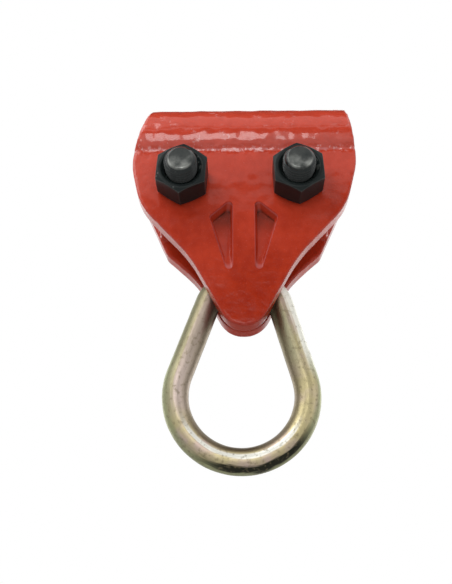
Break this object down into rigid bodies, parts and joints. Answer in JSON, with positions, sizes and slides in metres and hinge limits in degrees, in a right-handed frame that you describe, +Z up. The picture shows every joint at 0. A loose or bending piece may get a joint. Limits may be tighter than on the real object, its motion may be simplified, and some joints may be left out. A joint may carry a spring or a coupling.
{
  "type": "rope clamp with pear link",
  "caption": "Bolted two-jaw clamp that grips a rope in a half-pipe band, with a pear-shaped link that swings from a pin between the jaws' noses.",
  "frame": {"origin": "on the axis of the gripped rope, midway along the jaws", "axes": "+X along the rope, +Y along the bolts from the nuts to the heads, +Z up as it hangs"},
  "size_m": [0.113, 0.0658, 0.1917],
  "materials": {
    "red_enamel": "glossy red enamel over cast iron, slightly lumpy",
    "black_oxide": "black oxide, oily satin",
    "gold_zinc": "yellow-passivated zinc, faintly iridescent",
    "bare_steel": "plain ground steel"
  },
  "bodies": {
    "clamp": {"rear_jaw": "red_enamel", "left_bolt": "black_oxide", "right_bolt": "black_oxide", "link_pin": "bare_steel"},
    "front_jaw": {"front_jaw": "red_enamel"},
    "left_nut": {"left_nut": "black_oxide"},
    "right_nut": {"right_nut": "black_oxide"},
    "pear_link": {"pear_link": "gold_zinc"}
  },
  "joints": [
    {"name": "jaw_open", "type": "slide", "parent": "clamp", "child": "front_jaw", "axis": [0, -1, 0], "range_m": [0, 0.0079]},
    {"name": "left_nut_turn", "type": "hinge", "parent": "front_jaw", "child": "left_nut", "pos_m": [-0.03005, -0.0167, -0.03005], "axis": [0, -1, 0], "range_deg": [0, 1422]},
    {"name": "right_nut_turn", "type": "hinge", "parent": "front_jaw", "child": "right_nut", "pos_m": [0.02665, -0.0167, -0.03005], "axis": [0, -1, 0], "range_deg": [0, 1422]},
    {"name": "link_swing", "type": "hinge", "parent": "clamp", "child": "pear_link", "pos_m": [0, 0, -0.09005], "axis": [0, -1, 0], "range_deg": [-88, 92]}
  ],
  "couplings": [
    {"joint": "left_nut_turn", "follows": "jaw_open", "rad_per_m": 3141.6},
    {"joint": "right_nut_turn", "follows": "jaw_open", "rad_per_m": 3141.6}
  ]
}
